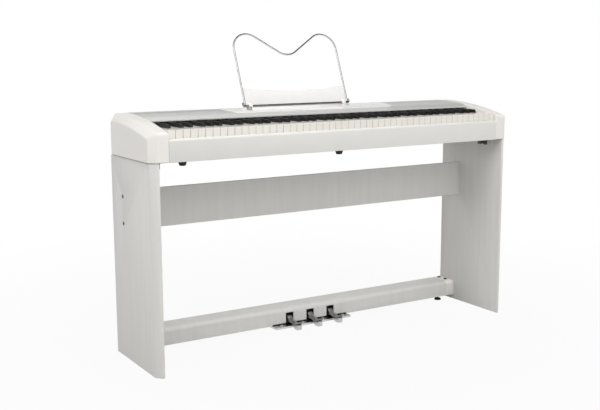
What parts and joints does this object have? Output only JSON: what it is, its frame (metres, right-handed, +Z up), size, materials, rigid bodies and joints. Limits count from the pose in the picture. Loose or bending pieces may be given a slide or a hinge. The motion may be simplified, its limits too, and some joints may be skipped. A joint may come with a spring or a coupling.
{
  "type": "digital piano on stand",
  "caption": "Slim white digital piano with weighted keys on a flat-panel stand with a pedal unit and a folding wire music rest.",
  "frame": {"origin": "on the floor, in the middle of the whole object's footprint, music rest included", "axes": "+X along the keyboard towards the treble end, +Y away from the player, +Z up"},
  "size_m": [1.3416, 0.4073, 0.9891],
  "materials": {
    "white_satin": "white satin moulding",
    "white_board": "white laminated panel",
    "silver_cover": "silver-grey satin moulding",
    "panel_white": "white gloss control panel",
    "button_grey": "light grey buttons",
    "key_white": "warm white key tops",
    "key_black": "black key caps",
    "chrome_wire": "polished wire",
    "pedal_steel": "polished pedals",
    "plate_steel": "bare sheet steel",
    "screw_dark": "blackened screws",
    "black_plastic": "black moulding",
    "rubber_black": "black rubber",
    "rest_dark": "dark satin rod",
    "rest_white": "milky sheet",
    "felt_red": "red felt",
    "board_green": "circuit board",
    "spring_steel": "spring wire"
  },
  "bodies": {
    "stand_and_case": {"left_leg": "white_board", "right_leg": "white_board", "modesty_panel": "white_board", "bottom_bar": "white_board", "bar_end_blocks": "white_board", "stand_screws": "screw_dark", "bar_feet": "rubber_black", "stand_brackets": "plate_steel", "thumbscrews": "screw_dark", "pedal_housing": "black_plastic", "pedal_base": "plate_steel", "pedal_base_screws": "screw_dark", "pedal_shaft": "plate_steel", "pedal_springs": "spring_steel", "pedal_felts": "felt_red", "case_bottom": "white_satin", "top_cover": "silver_cover", "left_end_block": "white_satin", "right_end_block": "white_satin", "key_slip": "white_satin", "case_feet": "rubber_black", "case_screws": "screw_dark", "control_panel": "panel_white", "rest_hinges": "white_satin", "key_frame": "plate_steel", "key_rod": "plate_steel", "key_felts": "felt_red", "contact_strip": "board_green", "main_board": "board_green", "panel_board": "board_green", "speakers": "black_plastic", "socket_block": "black_plastic", "power_inlet": "black_plastic"},
    "keys_a": {"keys_a": "key_white"},
    "keys_a_sharp": {"keys_a_sharp": "key_black"},
    "keys_b": {"keys_b": "key_white"},
    "keys_c": {"keys_c": "key_white"},
    "keys_c_sharp": {"keys_c_sharp": "key_black"},
    "keys_d": {"keys_d": "key_white"},
    "keys_d_sharp": {"keys_d_sharp": "key_black"},
    "keys_e": {"keys_e": "key_white"},
    "keys_f": {"keys_f": "key_white"},
    "keys_f_sharp": {"keys_f_sharp": "key_black"},
    "keys_g": {"keys_g": "key_white"},
    "keys_g_sharp": {"keys_g_sharp": "key_black"},
    "soft_pedal": {"soft_pedal": "pedal_steel"},
    "sostenuto_pedal": {"sostenuto_pedal": "pedal_steel"},
    "damper_pedal": {"damper_pedal": "pedal_steel"},
    "button_1": {"button_1": "button_grey"},
    "button_2": {"button_2": "button_grey"},
    "button_3": {"button_3": "button_grey"},
    "button_4": {"button_4": "button_grey"},
    "button_5": {"button_5": "button_grey"},
    "button_6": {"button_6": "button_grey"},
    "power_button": {"power_button": "button_grey"},
    "volume_knob": {"volume_knob": "button_grey"},
    "music_rest": {"rest_frame": "chrome_wire", "rest_bar": "rest_dark", "rest_plate": "rest_white"}
  },
  "joints": [
    {"name": "keys_a_press", "type": "hinge", "parent": "stand_and_case", "child": "keys_a", "pos_m": [0, 0.0298, 0.703], "axis": [1, 0, 0], "range_deg": [0, 2.56], "stiffness_Nm_per_rad": 4, "springref_deg": -11.46},
    {"name": "keys_a_sharp_press", "type": "hinge", "parent": "stand_and_case", "child": "keys_a_sharp", "pos_m": [0, 0.0298, 0.703], "axis": [1, 0, 0], "range_deg": [0, 2.56], "stiffness_Nm_per_rad": 4, "springref_deg": -11.46},
    {"name": "keys_b_press", "type": "hinge", "parent": "stand_and_case", "child": "keys_b", "pos_m": [0, 0.0298, 0.703], "axis": [1, 0, 0], "range_deg": [0, 2.56], "stiffness_Nm_per_rad": 4, "springref_deg": -11.46},
    {"name": "keys_c_press", "type": "hinge", "parent": "stand_and_case", "child": "keys_c", "pos_m": [0, 0.0298, 0.703], "axis": [1, 0, 0], "range_deg": [0, 2.56], "stiffness_Nm_per_rad": 4, "springref_deg": -11.46},
    {"name": "keys_c_sharp_press", "type": "hinge", "parent": "stand_and_case", "child": "keys_c_sharp", "pos_m": [0, 0.0298, 0.703], "axis": [1, 0, 0], "range_deg": [0, 2.56], "stiffness_Nm_per_rad": 4, "springref_deg": -11.46},
    {"name": "keys_d_press", "type": "hinge", "parent": "stand_and_case", "child": "keys_d", "pos_m": [0, 0.0298, 0.703], "axis": [1, 0, 0], "range_deg": [0, 2.56], "stiffness_Nm_per_rad": 4, "springref_deg": -11.46},
    {"name": "keys_d_sharp_press", "type": "hinge", "parent": "stand_and_case", "child": "keys_d_sharp", "pos_m": [0, 0.0298, 0.703], "axis": [1, 0, 0], "range_deg": [0, 2.56], "stiffness_Nm_per_rad": 4, "springref_deg": -11.46},
    {"name": "keys_e_press", "type": "hinge", "parent": "stand_and_case", "child": "keys_e", "pos_m": [0, 0.0298, 0.703], "axis": [1, 0, 0], "range_deg": [0, 2.56], "stiffness_Nm_per_rad": 4, "springref_deg": -11.46},
    {"name": "keys_f_press", "type": "hinge", "parent": "stand_and_case", "child": "keys_f", "pos_m": [0, 0.0298, 0.703], "axis": [1, 0, 0], "range_deg": [0, 2.56], "stiffness_Nm_per_rad": 4, "springref_deg": -11.46},
    {"name": "keys_f_sharp_press", "type": "hinge", "parent": "stand_and_case", "child": "keys_f_sharp", "pos_m": [0, 0.0298, 0.703], "axis": [1, 0, 0], "range_deg": [0, 2.56], "stiffness_Nm_per_rad": 4, "springref_deg": -11.46},
    {"name": "keys_g_press", "type": "hinge", "parent": "stand_and_case", "child": "keys_g", "pos_m": [0, 0.0298, 0.703], "axis": [1, 0, 0], "range_deg": [0, 2.56], "stiffness_Nm_per_rad": 4, "springref_deg": -11.46},
    {"name": "keys_g_sharp_press", "type": "hinge", "parent": "stand_and_case", "child": "keys_g_sharp", "pos_m": [0, 0.0298, 0.703], "axis": [1, 0, 0], "range_deg": [0, 2.56], "stiffness_Nm_per_rad": 4, "springref_deg": -11.46},
    {"name": "soft_pedal_press", "type": "hinge", "parent": "stand_and_case", "child": "soft_pedal", "pos_m": [-0.082, 0.0918, 0.0445], "axis": [1, 0, 0], "range_deg": [0, 3.9], "stiffness_Nm_per_rad": 15, "springref_deg": -5.73},
    {"name": "sostenuto_pedal_press", "type": "hinge", "parent": "stand_and_case", "child": "sostenuto_pedal", "pos_m": [0, 0.0918, 0.0445], "axis": [1, 0, 0], "range_deg": [0, 3.9], "stiffness_Nm_per_rad": 15, "springref_deg": -5.73},
    {"name": "damper_pedal_press", "type": "hinge", "parent": "stand_and_case", "child": "damper_pedal", "pos_m": [0.082, 0.0918, 0.0445], "axis": [1, 0, 0], "range_deg": [0, 3.9], "stiffness_Nm_per_rad": 15, "springref_deg": -5.73},
    {"name": "button_1_press", "type": "slide", "parent": "stand_and_case", "child": "button_1", "axis": [0, 0.0897, -0.996], "range_m": [0, 0.0012], "stiffness_N_per_m": 400, "springref_m": -0.001},
    {"name": "button_2_press", "type": "slide", "parent": "stand_and_case", "child": "button_2", "axis": [0, 0.0897, -0.996], "range_m": [0, 0.0012], "stiffness_N_per_m": 400, "springref_m": -0.001},
    {"name": "button_3_press", "type": "slide", "parent": "stand_and_case", "child": "button_3", "axis": [0, 0.0897, -0.996], "range_m": [0, 0.0012], "stiffness_N_per_m": 400, "springref_m": -0.001},
    {"name": "button_4_press", "type": "slide", "parent": "stand_and_case", "child": "button_4", "axis": [0, 0.0897, -0.996], "range_m": [0, 0.0012], "stiffness_N_per_m": 400, "springref_m": -0.001},
    {"name": "button_5_press", "type": "slide", "parent": "stand_and_case", "child": "button_5", "axis": [0, 0.0897, -0.996], "range_m": [0, 0.0012], "stiffness_N_per_m": 400, "springref_m": -0.001},
    {"name": "button_6_press", "type": "slide", "parent": "stand_and_case", "child": "button_6", "axis": [0, 0.0897, -0.996], "range_m": [0, 0.0012], "stiffness_N_per_m": 400, "springref_m": -0.001},
    {"name": "power_button_press", "type": "slide", "parent": "stand_and_case", "child": "power_button", "axis": [0, 0.0746, -0.9972], "range_m": [0, 0.0012], "stiffness_N_per_m": 400, "springref_m": -0.001},
    {"name": "volume_knob_turn", "type": "hinge", "parent": "stand_and_case", "child": "volume_knob", "pos_m": [-0.236, 0.0158, 0.74465], "axis": [0, -0.0746, 0.9972], "range_deg": [-140, 140]},
    {"name": "music_rest_fold", "type": "hinge", "parent": "stand_and_case", "child": "music_rest", "pos_m": [0, 0.1063, 0.7525], "axis": [1, 0, 0], "range_deg": [0, 104]}
  ]
}
